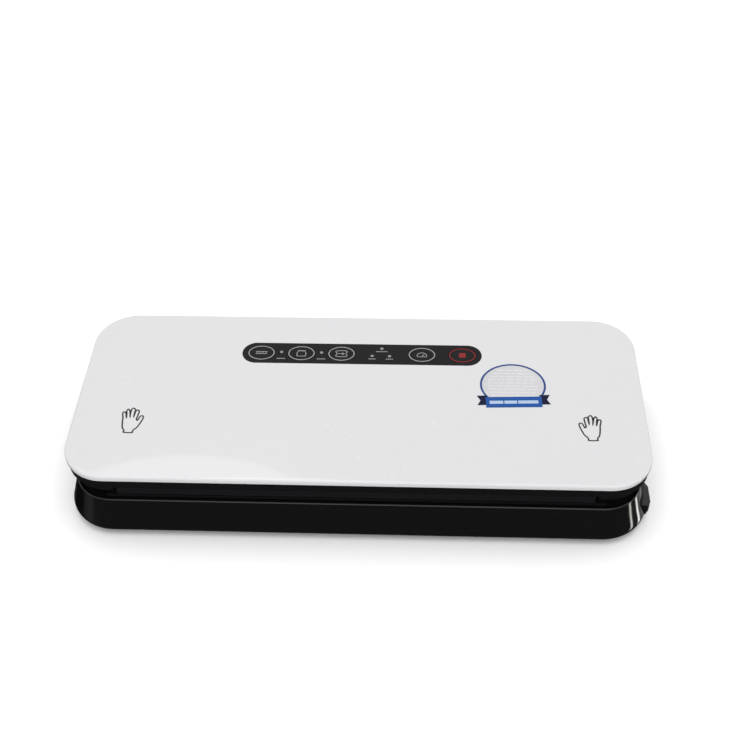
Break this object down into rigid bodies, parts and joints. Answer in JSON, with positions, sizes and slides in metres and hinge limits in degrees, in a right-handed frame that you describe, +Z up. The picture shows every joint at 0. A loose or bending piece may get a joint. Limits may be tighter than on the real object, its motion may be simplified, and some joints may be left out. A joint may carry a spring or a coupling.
{
  "type": "vacuum sealer",
  "caption": "Countertop vacuum sealer: flat white hinged lid with a control panel over a flared black base holding pump, chamber and heater bar.",
  "frame": {"origin": "middle of the footprint at the height of the feet, on the surface the part stands on", "axes": "+X along the width to the user's right, +Y from the front (bag side) to the hinges, +Z up"},
  "size_m": [0.3739, 0.1608, 0.05],
  "materials": {
    "black_gloss": "polished moulded ABS, black",
    "white_gloss": "polished moulded ABS, white",
    "black_satin": "fine satin moulding, black",
    "clear_tray": "satin moulding, dark grey",
    "foam": "closed-cell foam, charcoal",
    "heater_holder": "heat-proof moulding, buff",
    "steel": "plain steel",
    "release_cloth": "coated glass cloth, brown",
    "brass": "turned brass",
    "rubber": "black rubber",
    "magnet": "ferrite, dark grey",
    "winding": "enamelled copper and steel core",
    "white_plastic": "acetal, white",
    "hose": "milky silicone hose",
    "board": "green solder mask",
    "laminated_core": "varnished laminations and windings",
    "component": "dark moulded component bodies",
    "silicone": "brick red silicone",
    "panel_film": "dark grey glossy film",
    "light_pipe": "clear acrylic",
    "sticker": "printed paper under film"
  },
  "bodies": {
    "base": {"base_shell": "black_gloss", "bottom_cover": "black_satin", "deck": "black_satin", "chamber_trough": "black_satin", "drip_tray": "clear_tray", "lower_gasket": "foam", "heater_bar": "heater_holder", "heating_ribbon": "steel", "release_tape": "release_cloth", "ribbon_clips": "brass", "feet": "rubber", "base_screws": "steel", "hinge_pins": "steel", "pump_motor": "steel", "motor_magnets": "magnet", "pump_crankcase": "black_satin", "pump_rod": "white_plastic", "pump_diaphragm": "rubber", "pump_head": "black_satin", "pump_cradle": "rubber", "vacuum_hose": "hose", "accessory_hose": "hose", "accessory_port": "black_satin", "power_board": "board", "transformer": "laminated_core", "capacitors": "component", "relay": "component", "lid_switch": "component", "inlet_socket": "black_satin", "inlet_pins": "steel", "release_spring": "steel"},
    "lid": {"lid_plate": "white_gloss", "lid_frame": "black_gloss", "pressure_bar": "black_satin", "pressure_strip": "silicone", "upper_gasket": "foam", "latch_hooks": "black_satin", "lid_screws": "steel", "bar_screws": "steel", "control_board": "board", "board_screws": "steel", "tact_switches": "component", "light_pipes": "light_pipe", "panel_overlay": "panel_film", "sticker": "sticker"},
    "pump_rotor": {"motor_core": "winding", "motor_shaft": "steel", "pump_eccentric": "brass"},
    "release": {"release_bar": "black_gloss"},
    "key_seal": {"key_seal": "panel_film"},
    "key_accessory": {"key_accessory": "panel_film"},
    "key_vacuum": {"key_vacuum": "panel_film"},
    "key_pressure": {"key_pressure": "panel_film"},
    "key_stop": {"key_stop": "panel_film"}
  },
  "joints": [
    {"name": "lid_hinge", "type": "hinge", "parent": "base", "child": "lid", "pos_m": [0, 0.065, 0.034], "axis": [-1, 0, 0], "range_deg": [0, 60]},
    {"name": "pump_spin", "type": "hinge", "parent": "base", "child": "pump_rotor", "pos_m": [-0.1, 0.03, 0.0205], "axis": [1, 0, 0], "continuous": true},
    {"name": "release_press", "type": "slide", "parent": "base", "child": "release", "axis": [-1, 0, 0], "range_m": [0, 0.002], "stiffness_N_per_m": 900, "springref_m": -0.0012, "deforming": ["release_spring"]},
    {"name": "key_seal_press", "type": "slide", "parent": "lid", "child": "key_seal", "axis": [0, 0, -1], "range_m": [0, 0.0004], "stiffness_N_per_m": 3000, "springref_m": -0.0001},
    {"name": "key_accessory_press", "type": "slide", "parent": "lid", "child": "key_accessory", "axis": [0, 0, -1], "range_m": [0, 0.0004], "stiffness_N_per_m": 3000, "springref_m": -0.0001},
    {"name": "key_vacuum_press", "type": "slide", "parent": "lid", "child": "key_vacuum", "axis": [0, 0, -1], "range_m": [0, 0.0004], "stiffness_N_per_m": 3000, "springref_m": -0.0001},
    {"name": "key_pressure_press", "type": "slide", "parent": "lid", "child": "key_pressure", "axis": [0, 0, -1], "range_m": [0, 0.0004], "stiffness_N_per_m": 3000, "springref_m": -0.0001},
    {"name": "key_stop_press", "type": "slide", "parent": "lid", "child": "key_stop", "axis": [0, 0, -1], "range_m": [0, 0.0004], "stiffness_N_per_m": 3000, "springref_m": -0.0001}
  ]
}
